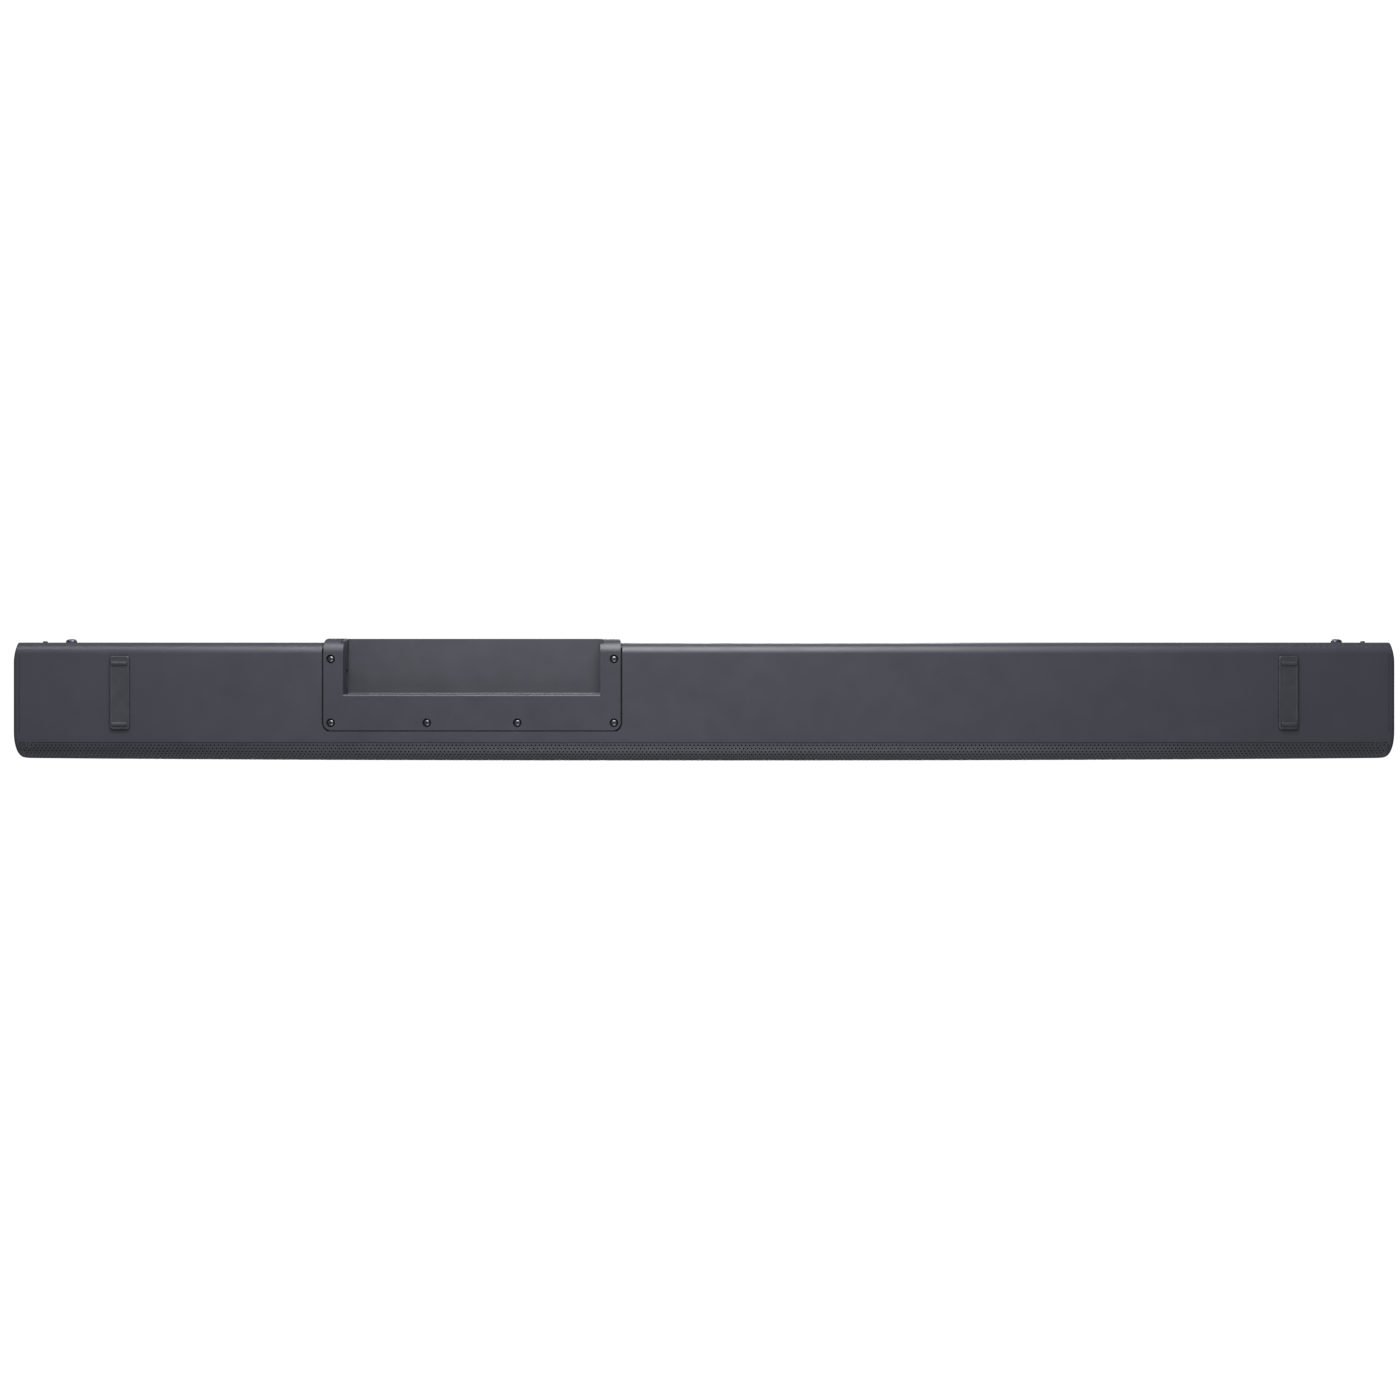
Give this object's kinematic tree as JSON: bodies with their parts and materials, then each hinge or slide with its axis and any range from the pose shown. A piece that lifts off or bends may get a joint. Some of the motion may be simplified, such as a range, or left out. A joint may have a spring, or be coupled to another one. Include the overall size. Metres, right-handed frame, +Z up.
{
  "type": "soundbar",
  "caption": "Long low loudspeaker bar with a wrapped metal grille, rubber feet, top buttons and a recessed connector bay underneath",
  "frame": {"origin": "centre of the bar's footprint, on the surface that its feet rest on", "axes": "+X along the bar to the listener's right, +Y to the rear (connector and wall side), +Z up"},
  "size_m": [1.06, 0.094, 0.06],
  "materials": {
    "shell_plastic": "fine-textured dark grey moulded plastic",
    "bay_plastic": "fine-textured dark grey moulded plastic, slightly duller",
    "grille_metal": "dark grey powder-coated perforated steel",
    "scrim_cloth": "black acoustic cloth",
    "inner_plastic": "black moulded plastic",
    "basket_plastic": "black glass-filled plastic",
    "dark_steel": "black zinc-plated steel",
    "foot_rubber": "dark grey moulded rubber",
    "magnet_ferrite": "dark ferrite with zinc-plated plates",
    "cone_paper": "black pressed paper",
    "driver_rubber": "soft black butyl rubber",
    "dome_fabric": "coated black fabric",
    "button_plastic": "dark grey moulded plastic",
    "circuit_board": "green solder mask",
    "display_window": "smoked plastic",
    "heat_sink_aluminium": "extruded aluminium",
    "transformer_core": "yellow tape over a ferrite core",
    "capacitor_sleeve": "blue heat-shrink sleeve",
    "inlet_plastic": "black moulded plastic",
    "socket_steel": "nickel-plated sheet steel",
    "wire_red": "red PVC insulation",
    "wire_black": "black PVC insulation"
  },
  "bodies": {
    "bar": {"bottom_shell": "shell_plastic", "top_cover": "shell_plastic", "end_cap_left": "shell_plastic", "end_cap_right": "shell_plastic", "front_grille": "grille_metal", "grille_scrim": "scrim_cloth", "front_baffle": "inner_plastic", "bay_frame": "inner_plastic", "connector_bay": "bay_plastic", "bay_screw_1": "dark_steel", "bay_screw_2": "dark_steel", "bay_screw_3": "dark_steel", "bay_screw_4": "dark_steel", "bay_screw_5": "dark_steel", "bay_screw_6": "dark_steel", "wall_screw_left": "dark_steel", "locating_pin_left": "dark_steel", "foot_left": "foot_rubber", "woofer_left_frame": "basket_plastic", "tweeter_left": "basket_plastic", "woofer_left_magnet": "magnet_ferrite", "woofer_left_surround": "driver_rubber", "tweeter_left_dome": "dome_fabric", "wall_screw_right": "dark_steel", "locating_pin_right": "dark_steel", "foot_right": "foot_rubber", "woofer_right_frame": "basket_plastic", "tweeter_right": "basket_plastic", "woofer_right_magnet": "magnet_ferrite", "woofer_right_surround": "driver_rubber", "tweeter_right_dome": "dome_fabric", "button_board": "circuit_board", "main_board": "circuit_board", "power_board": "circuit_board", "wireless_module": "circuit_board", "status_display": "display_window", "remote_receiver": "display_window", "amplifier_heat_sink": "heat_sink_aluminium", "power_heat_sink": "heat_sink_aluminium", "transformer": "transformer_core", "capacitor_1": "capacitor_sleeve", "capacitor_2": "capacitor_sleeve", "ac_inlet": "inlet_plastic", "optical_socket": "inlet_plastic", "hdmi_socket": "socket_steel", "usb_socket": "socket_steel", "speaker_wire_left": "wire_red", "speaker_wire_right": "wire_red", "tweeter_wire_left": "wire_black", "tweeter_wire_right": "wire_black", "power_lead": "wire_black"},
    "woofer_left_cone": {"woofer_left_cone": "cone_paper"},
    "woofer_right_cone": {"woofer_right_cone": "cone_paper"},
    "button_power": {"button_power": "button_plastic"},
    "button_volume_down": {"button_volume_down": "button_plastic"},
    "button_volume_up": {"button_volume_up": "button_plastic"},
    "button_source": {"button_source": "button_plastic"},
    "optical_shutter": {"optical_shutter": "inlet_plastic"}
  },
  "joints": [
    {"name": "button_power_press", "type": "slide", "parent": "bar", "child": "button_power", "axis": [0, 0, -1], "range_m": [0, 0.0008], "stiffness_N_per_m": 400, "springref_m": -0.001},
    {"name": "button_volume_down_press", "type": "slide", "parent": "bar", "child": "button_volume_down", "axis": [0, 0, -1], "range_m": [0, 0.0008], "stiffness_N_per_m": 400, "springref_m": -0.001},
    {"name": "button_volume_up_press", "type": "slide", "parent": "bar", "child": "button_volume_up", "axis": [0, 0, -1], "range_m": [0, 0.0008], "stiffness_N_per_m": 400, "springref_m": -0.001},
    {"name": "button_source_press", "type": "slide", "parent": "bar", "child": "button_source", "axis": [0, 0, -1], "range_m": [0, 0.0008], "stiffness_N_per_m": 400, "springref_m": -0.001},
    {"name": "woofer_left_excursion", "type": "slide", "parent": "bar", "child": "woofer_left_cone", "axis": [0, -1, 0], "range_m": [-0.0025, 0.0025], "stiffness_N_per_m": 800, "deforming": ["woofer_left_surround"]},
    {"name": "woofer_right_excursion", "type": "slide", "parent": "bar", "child": "woofer_right_cone", "axis": [0, -1, 0], "range_m": [-0.0025, 0.0025], "stiffness_N_per_m": 800, "deforming": ["woofer_right_surround"]},
    {"name": "optical_shutter_swing", "type": "hinge", "parent": "bar", "child": "optical_shutter", "pos_m": [0.264, 0.0024, 0.0187], "axis": [-1, 0, 0], "range_deg": [0, 75], "stiffness_Nm_per_rad": 0.0004, "springref_deg": -17.19}
  ]
}
